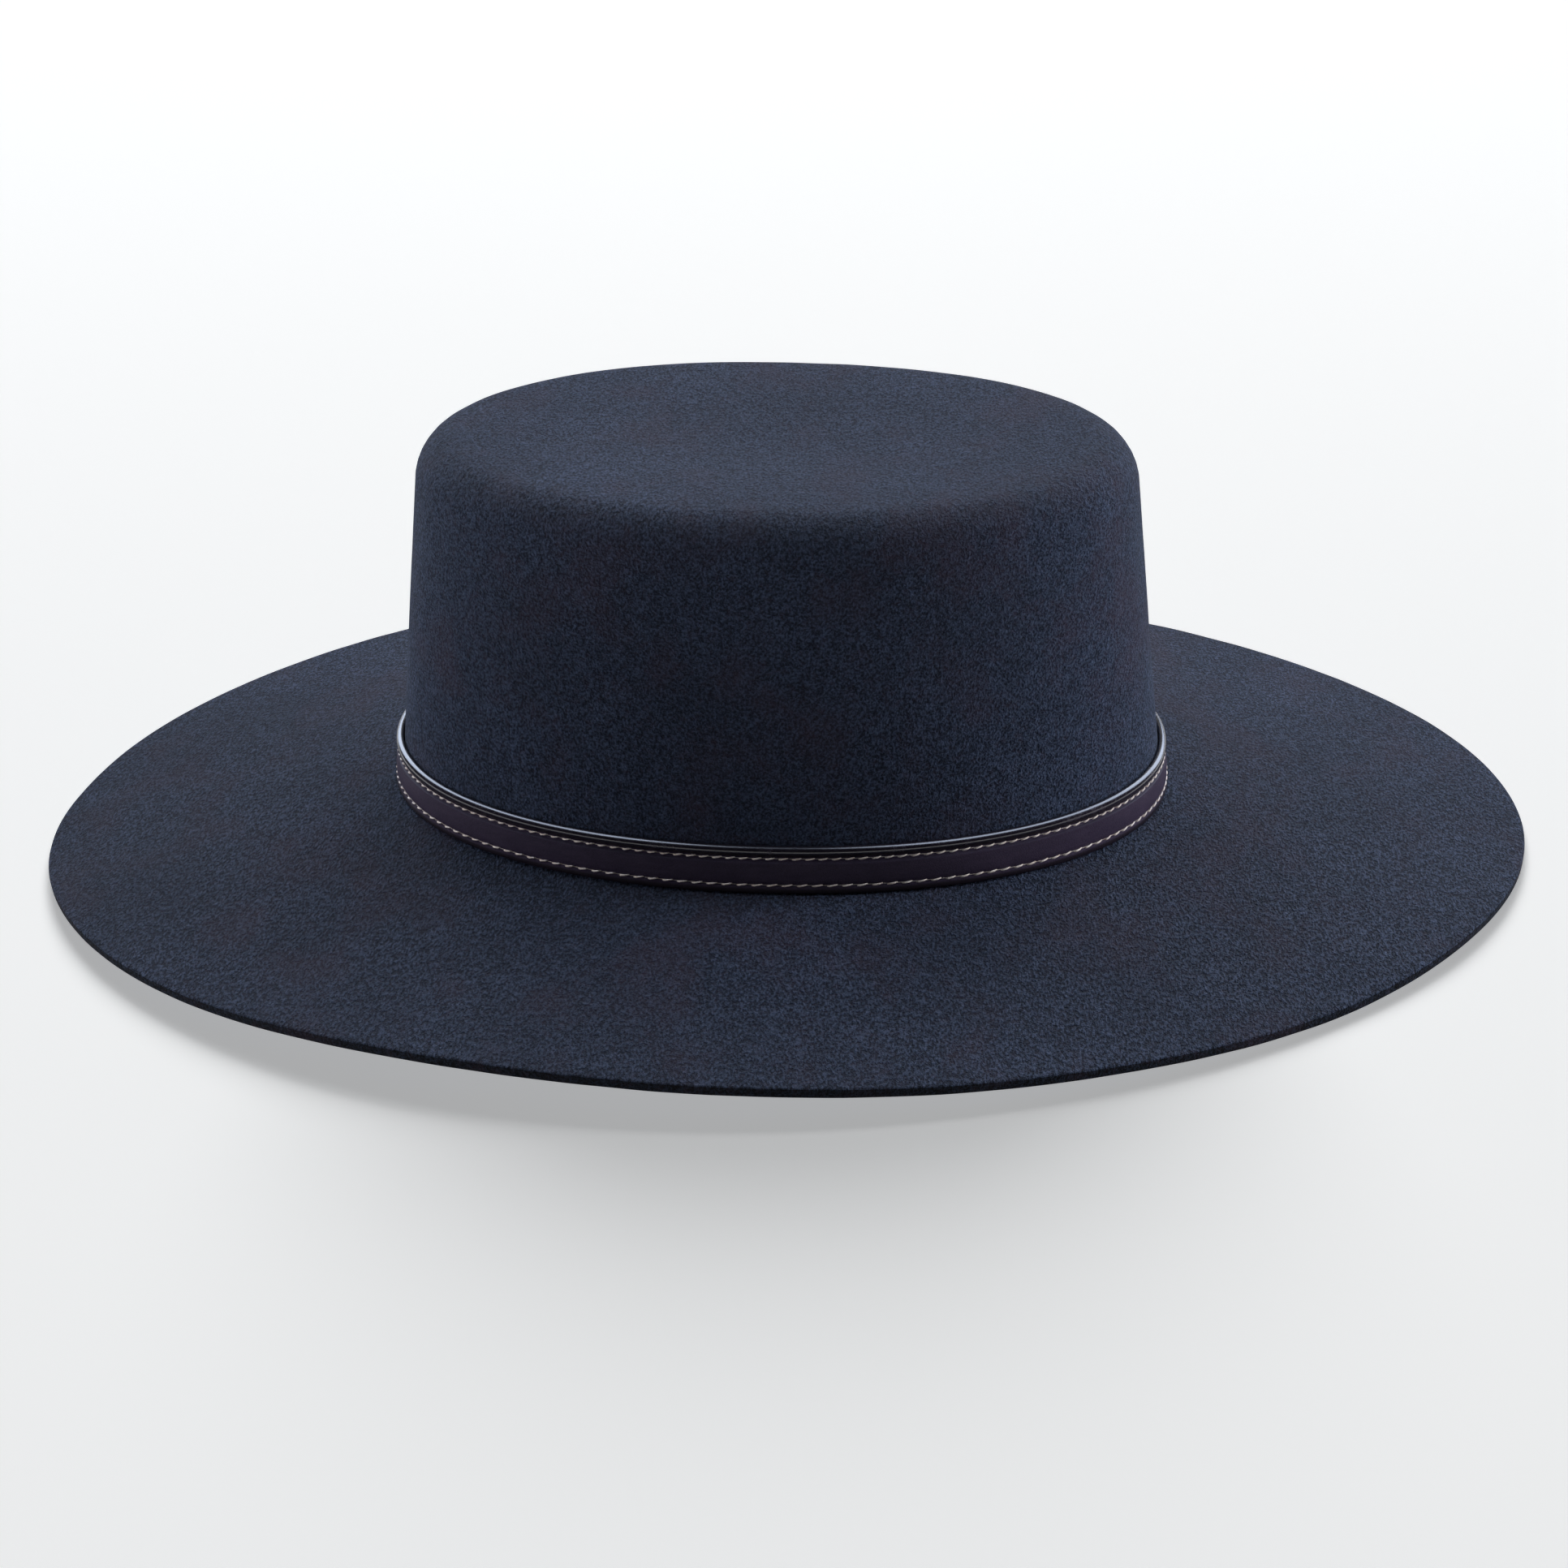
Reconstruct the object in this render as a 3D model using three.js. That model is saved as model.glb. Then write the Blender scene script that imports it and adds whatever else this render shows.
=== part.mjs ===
// Wide-brim felt hat with a leather band.
// Millimetres, +Z up. +X is the front of the hat and +Y the wearer's left.
// The origin is on the surface that the hat rests on, below the middle of its box.
import * as THREE from 'three';

// Felt
const FELT_THICKNESS = 2.6;

// Crown: a flat-topped oval cylinder that tapers upwards and leans a little to the front.
// Its heights are measured up its own axis from the brim's top face at the crown's foot.
const CROWN_FOOT_HALF_LENGTH = 100.9;
const CROWN_FOOT_HALF_WIDTH = 81.5;
const CROWN_FULLNESS = 2.11;
const CROWN_HEIGHT = 94.2;
const CROWN_TAPER_LENGTH = 7.8;
const CROWN_TAPER_WIDTH = 9.2;
const CROWN_EDGE_RADIUS = 11.6;
const CROWN_SET_BACK = 1.5;
const CROWN_LEAN_DEG = 1.5;
const TOP_DISH_DEPTH = 3.0;

// Break: the rounded corner where the crown turns into the brim, above and underneath.
const BREAK_OUTER_RADIUS = 1.0;
const BREAK_INNER_RADIUS = BREAK_OUTER_RADIUS + FELT_THICKNESS;

// Brim: the edge dips to the surface in front and behind, and lifts at the sides.
const BRIM_HALF_LENGTH = 196.7;
const BRIM_HALF_WIDTH = 173.8;
const BRIM_FULLNESS = 1.96;
const BRIM_REACH = BRIM_HALF_LENGTH - CROWN_FOOT_HALF_LENGTH;
const FOOT_HEIGHT = 17.8;
const EDGE_ROUNDING = 0.5;

// Rest flats: the felt under the lowest stretches of the edge is pressed level.
const REST_FLATTENING = 0.3;
const REST_FLAT_WIDTH = 3.2;
const REST_FLAT_RUN_OUT = 3;

// The brim edge's lift above the surface, in even steps round the hat from the front (0)
// past the wearer's left side (90) and the back (180).
const EDGE_SECTIONS = [
  { angle: 0, lift: 0 },
  { angle: 22.5, lift: 0.3 },
  { angle: 45, lift: 1.4 },
  { angle: 67.5, lift: 3.2 },
  { angle: 90, lift: 6.2 },
  { angle: 112.5, lift: 6.9 },
  { angle: 135, lift: 5.3 },
  { angle: 157.5, lift: 2.4 },
  { angle: 180, lift: 0 },
  { angle: 202.5, lift: 2.4 },
  { angle: 225, lift: 4.7 },
  { angle: 247.5, lift: 7.6 },
  { angle: 270, lift: 6.2 },
  { angle: 292.5, lift: 3.3 },
  { angle: 315, lift: 1.1 },
  { angle: 337.5, lift: 1.3 },
];

// Leather band: a closed strap around the crown's foot, with two stitching grooves.
const BAND_THICKNESS = 1.5;
const BAND_HEIGHT = 12.2;
const PIECE_GAP = 0.3;
const BAND_EDGE_ROUNDING = 0.6;
const BAND_FOOT_ROUNDING = 0.3;
const GROOVE_DEPTH = 0.3;
const GROOVE_HALF_WIDTH = 0.5;
const LOWER_GROOVE_HEIGHT = 2.2;
const UPPER_GROOVE_HEIGHT = 9.1;

// Facets: how many go round the hat, and where their rings lie.
const SECTIONS = 80;
const TOP_SHARES = [0.3, 0.6, 0.85];
const CORNER_TURNS_DEG = [90, 66, 44, 22, 0];
const WALL_SHARES = [0.66, 0.33];
const BRIM_SHARES = [0.2, 0.5, 0.8];

const CORNER_HEIGHT = CROWN_HEIGHT - CROWN_EDGE_RADIUS;
const LEAN = THREE.MathUtils.degToRad(CROWN_LEAN_DEG);

// A unit oval: fullness 2 is an ellipse, and more is squarer.
function unitOval(angle, fullness) {
  const c = Math.cos(angle);
  const s = Math.sin(angle);
  const reach = (Math.abs(c) ** fullness + Math.abs(s) ** fullness) ** (-1 / fullness);
  return [c * reach, s * reach];
}

// A point on a level oval of the crown, height up its axis, in the hat's frame.
function crownPoint(angle, halfLength, halfWidth, height) {
  const [c, s] = unitOval(angle, CROWN_FULLNESS);
  const x = halfLength * c - CROWN_SET_BACK * (height / CROWN_HEIGHT);
  return new THREE.Vector3(
    x * Math.cos(LEAN) + height * Math.sin(LEAN),
    halfWidth * s,
    FOOT_HEIGHT - x * Math.sin(LEAN) + height * Math.cos(LEAN),
  );
}

// The outer wall's half-axes at a height, less an inset towards the axis.
function wallHalves(height, inset) {
  const share = height / CROWN_HEIGHT;
  return [
    CROWN_FOOT_HALF_LENGTH - CROWN_TAPER_LENGTH * share - inset,
    CROWN_FOOT_HALF_WIDTH - CROWN_TAPER_WIDTH * share - inset,
  ];
}

const wallPoint = (angle, height, inset) =>
  crownPoint(angle, ...wallHalves(height, inset), height);

// How far the brim's edge stands above the surface: a smooth curve through the sections,
// flattened where it rests.
function edgeLift(angle) {
  const count = EDGE_SECTIONS.length;
  const step = (angle / (2 * Math.PI)) * count;
  const row = Math.floor(step);
  const [before, from, to, after] = [-1, 0, 1, 2].map(
    (offset) => EDGE_SECTIONS[(row + offset + count) % count].lift,
  );
  const share = step - row;
  const slope = to - before;
  const bend = 2 * before - 5 * from + 4 * to - after;
  const twist = 3 * (from - to) + after - before;
  const lift = from + 0.5 * share * (slope + share * (bend + share * twist));
  return Math.max(0, lift - REST_FLATTENING);
}

function brimEdge(angle, inset) {
  const [c, s] = unitOval(angle, BRIM_FULLNESS);
  return new THREE.Vector3(
    (BRIM_HALF_LENGTH - inset) * c,
    (BRIM_HALF_WIDTH - inset) * s,
    edgeLift(angle),
  );
}

// A point of the brim's underside, share 0 at the break and 1 at the edge, raised by lift.
function brimPoint(angle, share, lift) {
  const root = crownPoint(angle, CROWN_FOOT_HALF_LENGTH, CROWN_FOOT_HALF_WIDTH, -FELT_THICKNESS);
  const point = root.lerp(brimEdge(angle, 0), share);
  point.z += lift;
  return point;
}

// Closes rings of points into one solid: poles end it, or the last ring meets the first.
function solidFromRings(rings, poles) {
  const positions = [];
  const indices = [];
  for (const ring of rings) {
    for (const point of ring) {
      positions.push(point.x, point.y, point.z);
    }
  }
  const pairs = poles ? rings.length - 1 : rings.length;
  for (let j = 0; j < pairs; j += 1) {
    const upper = j * SECTIONS;
    const lower = ((j + 1) % rings.length) * SECTIONS;
    for (let i = 0; i < SECTIONS; i += 1) {
      const next = (i + 1) % SECTIONS;
      indices.push(upper + i, lower + i, lower + next);
      indices.push(upper + i, lower + next, upper + next);
    }
  }
  if (poles) {
    const first = positions.length / 3;
    const last = first + 1;
    const lastRing = (rings.length - 1) * SECTIONS;
    for (const pole of poles) {
      positions.push(pole.x, pole.y, pole.z);
    }
    for (let i = 0; i < SECTIONS; i += 1) {
      const next = (i + 1) % SECTIONS;
      indices.push(first, i, next);
      indices.push(last, lastRing + next, lastRing + i);
    }
  }
  const geometry = new THREE.BufferGeometry();
  geometry.setAttribute('position', new THREE.Float32BufferAttribute(positions, 3));
  geometry.setIndex(indices);
  geometry.computeVertexNormals();
  return geometry;
}

// One ring: the point that a function gives at each angle round the hat.
const ringOf = (pointAt) =>
  Array.from({ length: SECTIONS }, (_, i) => pointAt((i * 2 * Math.PI) / SECTIONS));

// A ring across the crown's top: shell is 0 outside and the felt's thickness inside.
const topRing = (share, shell) => ringOf((angle) => {
  const [a, b] = wallHalves(CORNER_HEIGHT, CROWN_EDGE_RADIUS);
  const dish = TOP_DISH_DEPTH * 0.5 * (1 + Math.cos(Math.PI * share));
  return crownPoint(angle, a * share, b * share, CROWN_HEIGHT - dish - shell);
});

// A ring round the corner between the crown's top, at 90 degrees, and its wall, at 0.
const cornerRing = (turnDeg, shell) => ringOf((angle) => {
  const turn = THREE.MathUtils.degToRad(turnDeg);
  const radius = CROWN_EDGE_RADIUS - shell;
  const [a, b] = wallHalves(CORNER_HEIGHT, CROWN_EDGE_RADIUS - radius * Math.cos(turn));
  return crownPoint(angle, a, b, CORNER_HEIGHT + radius * Math.sin(turn));
});

const wallRing = (height, inset) => ringOf((angle) => wallPoint(angle, height, inset));

const brimRing = (share, lift) => ringOf((angle) => brimPoint(angle, share, lift));

// A ring round the brim's cut edge, inset from its outline and raised by lift.
const edgeRing = (inset, lift) => ringOf((angle) => {
  const point = brimEdge(angle, inset);
  point.z += lift;
  return point;
});

// The underside ring that ends the rest flats: level where the edge rests, free elsewhere.
const restRing = () => ringOf((angle) => {
  const point = brimEdge(angle, REST_FLAT_WIDTH);
  const free = brimPoint(angle, 1 - REST_FLAT_WIDTH / BRIM_REACH, 0).z;
  point.z = Math.min(free, REST_FLAT_RUN_OUT * edgeLift(angle));
  return point;
});

// The felt: rings run over the crown, out along the brim, round its edge and back inside.
function feltRings() {
  const outerBreak = BREAK_OUTER_RADIUS / BRIM_REACH;
  const halfTurn = BREAK_INNER_RADIUS * Math.SQRT1_2;
  const crownOutside = [
    ...TOP_SHARES.map((share) => topRing(share, 0)),
    ...CORNER_TURNS_DEG.map((turn) => cornerRing(turn, 0)),
    ...WALL_SHARES.map((share) => wallRing(CORNER_HEIGHT * share, 0)),
    wallRing(BREAK_OUTER_RADIUS, 0),
  ];
  const brimTop = [
    brimRing(outerBreak, FELT_THICKNESS),
    ...BRIM_SHARES.map((share) => brimRing(share, FELT_THICKNESS)),
  ];
  const cutEdge = [
    edgeRing(EDGE_ROUNDING, FELT_THICKNESS),
    edgeRing(0, FELT_THICKNESS - EDGE_ROUNDING),
    edgeRing(0, EDGE_ROUNDING),
    edgeRing(EDGE_ROUNDING, 0),
  ];
  const underside = [
    restRing(),
    ...BRIM_SHARES.toReversed().map((share) => brimRing(share, 0)),
    brimRing(outerBreak, 0),
    wallRing(BREAK_OUTER_RADIUS - halfTurn, halfTurn - BREAK_OUTER_RADIUS),
  ];
  const crownInside = [
    wallRing(BREAK_OUTER_RADIUS, FELT_THICKNESS),
    ...WALL_SHARES.toReversed().map((share) => wallRing(CORNER_HEIGHT * share, FELT_THICKNESS)),
    ...CORNER_TURNS_DEG.toReversed().map((turn) => cornerRing(turn, FELT_THICKNESS)),
    ...TOP_SHARES.toReversed().map((share) => topRing(share, FELT_THICKNESS)),
  ];
  return [...crownOutside, ...brimTop, ...cutEdge, ...underside, ...crownInside];
}

function feltGeometry() {
  const dishFloor = CROWN_HEIGHT - TOP_DISH_DEPTH;
  const poles = [
    crownPoint(0, 0, 0, dishFloor),
    crownPoint(0, 0, 0, dishFloor - FELT_THICKNESS),
  ];
  return solidFromRings(feltRings(), poles);
}

// The band's section, as distances from the crown's wall and heights above the brim.
function bandSection() {
  const inner = PIECE_GAP;
  const outer = PIECE_GAP + BAND_THICKNESS;
  const foot = PIECE_GAP;
  const top = foot + BAND_HEIGHT;
  const cut = BREAK_OUTER_RADIUS;
  const groove = (height) => [
    { out: outer, up: foot + height - GROOVE_HALF_WIDTH },
    { out: outer - GROOVE_DEPTH, up: foot + height },
    { out: outer, up: foot + height + GROOVE_HALF_WIDTH },
  ];
  return [
    { out: inner, up: foot + cut },
    { out: inner + cut, up: foot },
    { out: outer - BAND_FOOT_ROUNDING, up: foot },
    { out: outer, up: foot + BAND_FOOT_ROUNDING },
    ...groove(LOWER_GROOVE_HEIGHT),
    ...groove(UPPER_GROOVE_HEIGHT),
    { out: outer, up: top - BAND_EDGE_ROUNDING },
    { out: outer - BAND_EDGE_ROUNDING, up: top },
    { out: inner, up: top },
  ].reverse();
}

function bandGeometry() {
  const rings = bandSection().map(({ out, up }) => ringOf((angle) => wallPoint(angle, up, -out)));
  return solidFromRings(rings, null);
}

const felt = new THREE.MeshStandardMaterial({ color: 0x1f2633, roughness: 0.95, metalness: 0 });
const leather = new THREE.MeshStandardMaterial({ color: 0x241c28, roughness: 0.4, metalness: 0 });

const feltBody = new THREE.Mesh(feltGeometry(), felt);
feltBody.name = 'felt_body';

const leatherBand = new THREE.Mesh(bandGeometry(), leather);
leatherBand.name = 'leather_band';

const hat = new THREE.Group();
hat.name = 'wide_brim_hat';
hat.add(feltBody, leatherBand);

export default hat;
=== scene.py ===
"""Wide-brim felt hat with a stitched leather band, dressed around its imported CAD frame."""

import math

import bmesh
import bpy
from mathutils import Matrix, Vector, noise


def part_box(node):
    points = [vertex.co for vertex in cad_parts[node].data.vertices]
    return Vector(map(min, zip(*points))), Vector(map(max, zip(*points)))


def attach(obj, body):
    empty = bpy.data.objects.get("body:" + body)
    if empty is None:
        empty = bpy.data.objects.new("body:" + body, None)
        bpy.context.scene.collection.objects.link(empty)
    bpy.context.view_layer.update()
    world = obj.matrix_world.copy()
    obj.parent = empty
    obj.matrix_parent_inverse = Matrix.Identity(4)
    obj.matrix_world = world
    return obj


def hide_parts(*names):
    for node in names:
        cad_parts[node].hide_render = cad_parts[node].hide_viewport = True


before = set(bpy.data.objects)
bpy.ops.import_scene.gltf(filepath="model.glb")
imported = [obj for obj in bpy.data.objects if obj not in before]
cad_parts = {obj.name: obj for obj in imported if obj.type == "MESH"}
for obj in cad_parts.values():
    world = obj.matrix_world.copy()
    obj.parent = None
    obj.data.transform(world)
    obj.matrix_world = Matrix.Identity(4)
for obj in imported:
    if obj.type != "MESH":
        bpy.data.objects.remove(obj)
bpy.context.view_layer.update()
FELT_LOW, FELT_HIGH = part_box("felt_body")

bl_info = {
    "name": "Wide-Brim Felt Hat",
    "version": (1, 0, 0),
    "blender": (4, 5, 0),
    "location": "3D View > Sidebar > Felt Hat",
    "description": "Makes a wide-brim felt hat with a stitched leather band",
    "category": "Object",
}

MM = 0.001
FULL_TURN = 2 * math.pi
QUARTER_TURN = math.pi / 2

# Rings of the felt's mesh, from the crown's middle outwards
TOP_RINGS = 16
CORNER_RINGS = 10
WALL_RINGS = 17
BREAK_RINGS = 3
BRIM_RINGS = 22

# The felt's unevenness: waves to the metre, and a shift between the broad and the small ones
BROAD_WAVES_PER_METRE = 14
SMALL_WAVES_PER_METRE = 90
SMALL_WAVES_SHIFT = Vector((3.1, 0.7, 5.2))

# Beside the band the felt is even. Above it and out along the brim the unevenness grows
WALL_FADE = 20 * MM
BRIM_FADE_START = 0.06
BRIM_FADE = 0.2

# The felt's cut edge: facets round a corner, and the least bend that is rounded
EDGE_SEGMENTS = 3
EDGE_BEND = math.radians(50)

# The circle that each mesh starts as, and how near its last ring lies to its first one
START_RADIUS = 10 * MM
WELD_DISTANCE = 0.001 * MM

# The grain of the leather
PORES_PER_METRE = 1500

# The band's grooves: points across one in half widths, and their depths as shares
GROOVE_FORM = ((-1, 0), (-0.6, 0.25), (-0.25, 0.85), (0, 1), (0.25, 0.85))

# The band's face between its grooves: shares of half a wave, and shares of the way up
SWELL_FORM = (
    (0.0, 0.1), (0.15, 0.2), (0.35, 0.35), (0.5, 0.5), (0.65, 0.65), (0.85, 0.8), (1.0, 0.9),
)

# The band's bead: how far it stands out of the face, its inner edge, and its arc in degrees
BEAD_OVERHANG = 0.45 * MM
BEAD_INNER_DROP = 0.4 * MM
BEAD_ARC = range(-50, 111, 16)

# How far the polish reaches down from the bead's top, in radii
POLISH_SHARE = 1.3

# A stitch: facets round it, cuts along it, its depth, and how its slant varies in radians
STITCH_SIDES = 6
STITCH_CUTS = 3
STITCH_SINK = 0.06 * MM
STITCH_WOBBLE = 0.06

# A stitch's form: how much both ends narrow, its mean width, its taper, and how its ends dip
STITCH_NARROWING = 0.62
STITCH_MEAN = 0.93
STITCH_TAPER = 0.12
STITCH_DIP = 0.55

# The thread between stitches: facets round it, facets along it for each stitch, and how far
# its middle lies over the groove's bottom, in thicknesses
THREAD_SIDES = 6
THREAD_STEPS = 2
THREAD_RISE = 0.2

# Steps round the crown when its length is measured, and a small turn that shows its direction
GIRTH_STEPS = 2880
SMALL_TURN = 0.002

# The floor lies just below the brim's flats, and the lights face a point above it
FLOOR_GAP = 0.2 * MM
LIGHT_TARGET = Vector((0, 0, 0.04))
SHINE_COLOUR = (0.70, 0.80, 1.0)

# Name, place in metres, width and height in metres, watts, direction of the width, and kind.
# A "soft" light does all, a "shine" one lights gloss alone, and a "fill" one all but gloss
SOFTBOXES = (
    ("back_softbox", (0, 1.7, 1.8), (1.6, 1.2), 15, (1, 0, 0), "soft"),
    ("left_softbox", (-1.8, 0.9, 0.95), (1.2, 1.2), 20, (1, 0, 0), "fill"),
    ("right_softbox", (1.9, 0.1, 0.95), (1.6, 1.4), 27, (1, 0, 0), "fill"),
    ("low_left_fill", (-1.65, -0.35, 0.4), (0.8, 0.4), 11, (1, 0, 0), "fill"),
    ("low_right_fill", (1.6, 0.4, 0.35), (0.8, 0.4), 15, (1, 0, 0), "fill"),
    ("left_strip", (-0.8, 0.76, 1.23), (3.2, 0.9), 34, (0.2, -1.8, 1.4), "shine"),
    ("right_strip", (0.8, 0.76, 1.23), (3.2, 0.9), 34, (-0.2, -1.8, 1.4), "shine"),
)

# The point that the camera circles and the one that it faces, as fitted to the photo
CAMERA_CENTRE = Vector((0, 0, 20.3 * MM))
CAMERA_AIM = Vector((0.7, -2.2, 14.7)) * MM

# The camera's sensor in millimetres, and how far it sees in metres
SENSOR_WIDTH = 36
FARTHEST_SEEN = 50


# Settings
def length(name, description, default):
    """A distance in metres that a user may change."""
    return bpy.props.FloatProperty(
        name=name, description=description, default=default, precision=5,
        subtype="DISTANCE", unit="LENGTH",
    )


def turn(name, description, degrees):
    """An angle that a user may change."""
    return bpy.props.FloatProperty(
        name=name, description=description, default=math.radians(degrees),
        subtype="ANGLE", unit="ROTATION",
    )


def number(name, description, default):
    """A plain number that a user may change."""
    return bpy.props.FloatProperty(name=name, description=description, default=default)


def count(name, description, default):
    """A whole number that a user may change."""
    return bpy.props.IntProperty(name=name, description=description, default=default, min=1)


def colour(name, description, default):
    """A linear colour that a user may change."""
    return bpy.props.FloatVectorProperty(
        name=name, description=description, default=default, size=3,
        subtype="COLOR", min=0, max=1,
    )


class HatFeltSizes(bpy.types.PropertyGroup):
    """The felt's shape, as the CAD gives it."""

    thickness: length("Felt thickness", "Through the felt", 2.6 * MM)
    foot_half_length: length("Crown half length", "At the crown's foot", 100.9 * MM)
    foot_half_width: length("Crown half width", "At the crown's foot", 81.5 * MM)
    crown_fullness: number("Crown fullness", "2 is an ellipse, more is squarer", 2.11)
    crown_height: length("Crown height", "From the brim to the crown's rim", 94.2 * MM)
    taper_length: length("Taper in length", "How far each end leans in", 7.8 * MM)
    taper_width: length("Taper in width", "How far each side leans in", 9.2 * MM)
    edge_radius: length("Crown edge radius", "Round the top's edge", 11.6 * MM)
    set_back: length("Set back", "The crown's top behind its foot", 1.5 * MM)
    lean: turn("Lean", "The crown's lean to the front", 1.5)
    dish_depth: length("Dish depth", "The top's shallow dish", 3.0 * MM)
    break_radius: length("Break radius", "Where the crown turns into the brim", 1.0 * MM)
    brim_half_length: length(
        "Brim half length", "Out to the cut edge", (FELT_HIGH.x - FELT_LOW.x) / 2,
    )
    brim_half_width: length(
        "Brim half width", "Out to the cut edge", (FELT_HIGH.y - FELT_LOW.y) / 2,
    )
    brim_fullness: number("Brim fullness", "2 is an ellipse, more is squarer", 1.96)
    foot_height: length("Foot height", "The brim's top at the crown", 17.8 * MM)
    rest_flattening: length("Rest flattening", "Felt pressed flat where it rests", 0.3 * MM)
    edge_lifts: bpy.props.FloatVectorProperty(
        name="Edge lifts",
        description="The brim edge's lift, in even steps from the front past the left side",
        size=16, precision=5, subtype="NONE", unit="LENGTH",
        default=[
            lift * MM for lift in (
                0, 0.3, 1.4, 3.2, 6.2, 6.9, 5.3, 2.4, 0, 2.4, 4.7, 7.6, 6.2, 3.3, 1.1, 1.3,
            )
        ],
    )
    broad_waves: length("Broad waves", "Height of the felt's slow unevenness", 0.35 * MM)
    small_waves: length("Small waves", "Height of the felt's hand-blocked texture", 0.09 * MM)
    edge_rounding: length("Edge rounding", "The cut edge's worn corners", 0.55 * MM)
    sections: count("Sections", "How many facets go round the hat", 320)


class HatFeltLook(bpy.types.PropertyGroup):
    """The felt's colours."""

    wool: colour("Wool", "The felt's ground colour", (0.0060, 0.0088, 0.0200))
    fibre: colour("Fibre", "The paler fibres of the nap", (0.064, 0.088, 0.160))
    plum: colour("Plum", "The reddish tint of some fibres", (0.044, 0.026, 0.042))
    bloom: colour("Bloom", "The sheen that the nap takes at a low angle", (0.49, 0.60, 0.82))
    bloom_weight: number("Bloom weight", "How strong the sheen is", 0.085)
    cut_wool: colour("Cut wool", "The felt at the brim's cut edge", (0.0018, 0.0022, 0.0042))


class HatBandSizes(bpy.types.PropertyGroup):
    """The leather band's shape, measured out from the crown's wall and up from the brim."""

    gap: length("Gap", "Between the band and the felt", 0.3 * MM)
    thickness: length("Leather thickness", "Through the strap", 1.5 * MM)
    height: length("Band height", "From its foot to the top of its bead", 12.2 * MM)
    bead_radius: length("Bead radius", "The rolled top edge", 1.3 * MM)
    foot_rounding: length("Foot rounding", "The strap's lower edge", 0.5 * MM)
    groove_depth: length("Groove depth", "Where the thread draws the leather in", 0.38 * MM)
    groove_half_width: length("Groove half width", "Each side of a row", 0.75 * MM)
    lower_row: length("Lower row", "Height of the lower stitches over the foot", 2.2 * MM)
    upper_row: length("Upper row", "Height of the upper stitches over the foot", 9.1 * MM)
    pillow: length("Pillow", "How far the leather swells between its rows", 0.14 * MM)
    sections: count("Sections", "How many facets go round the band", 336)


class HatBandLook(bpy.types.PropertyGroup):
    """The leather's colours."""

    hide: colour("Hide", "The leather's ground colour", (0.0280, 0.0198, 0.0425))
    worn: colour("Worn", "The leather where it is rubbed", (0.054, 0.038, 0.072))
    # This colour also paints shade at the band's foot and under its bead
    pore_and_shade: colour("Pore", "The bottoms of the grain and grooves", (0.005, 0.003, 0.0055))
    bead: colour("Bead", "The polished rolled edge", (0.0070, 0.0050, 0.0100))


class HatStitchSizes(bpy.types.PropertyGroup):
    """The two rows of stitching."""

    upper_count: count("Upper stitches", "Stitches in the upper row", 176)
    lower_count: count("Lower stitches", "Stitches in the lower row", 156)
    share: number("Stitch share", "A stitch's length as a share of its spacing", 0.72)
    thickness: length("Stitch thickness", "Across one stitch", 0.49 * MM)
    thread: length("Thread thickness", "Across the thread between stitches", 0.11 * MM)
    slant: turn("Slant", "The stitches' slant against their row", 10)
    cream: colour("Cream", "The thread's pale strands", (1.0, 0.92, 0.88))
    ochre: colour("Ochre", "The thread's shaded strands", (0.46, 0.33, 0.27))


class HatStageSettings(bpy.types.PropertyGroup):
    """Camera, floor and lights."""

    lens: bpy.props.FloatProperty(
        name="Lens", description="Focal length on the full-frame sensor",
        default=103.26, subtype="DISTANCE_CAMERA",
    )
    distance: length("Distance", "From the camera to the hat", 1.2)
    azimuth: turn("Azimuth", "How far round the camera stands", 4.85)
    elevation: turn("Elevation", "The camera's height above the floor", 21.82)
    roll: turn("Roll", "The camera's tilt to its side", -1.566)
    floor_size: length("Floor size", "The side of the square floor", 24)
    floor_colour: colour("Floor colour", "The pale floor", (0.94, 0.95, 0.955))
    glow: number("Glow", "How bright the floor is by itself", 0.42)
    sun: number("Sun", "Strength of the floor's own light, from behind", 2.1)
    sun_tilt: turn("Sun tilt", "How far that light is turned from straight down", -61.4)
    sun_softness: turn("Sun softness", "How wide that light is in the sky", 28)
    air: number("Air", "How bright the air behind the floor looks", 0.73)


# Materials
class Value:
    """A value that varies over a surface. Arithmetic on it adds Math nodes."""

    def __init__(self, finish, socket):
        self.finish = finish
        self.socket = socket

    def math(self, operation, first, second):
        """Adds a Math node on two values or numbers."""
        return self.finish.node(
            "ShaderNodeMath", {"operation": operation}, {0: first, 1: second},
        )

    def __add__(self, other):
        return self.math("ADD", self, other)

    def __sub__(self, other):
        return self.math("SUBTRACT", self, other)

    def __rsub__(self, other):
        return self.math("SUBTRACT", other, self)

    def __mul__(self, other):
        return self.math("MULTIPLY", self, other)


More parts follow.
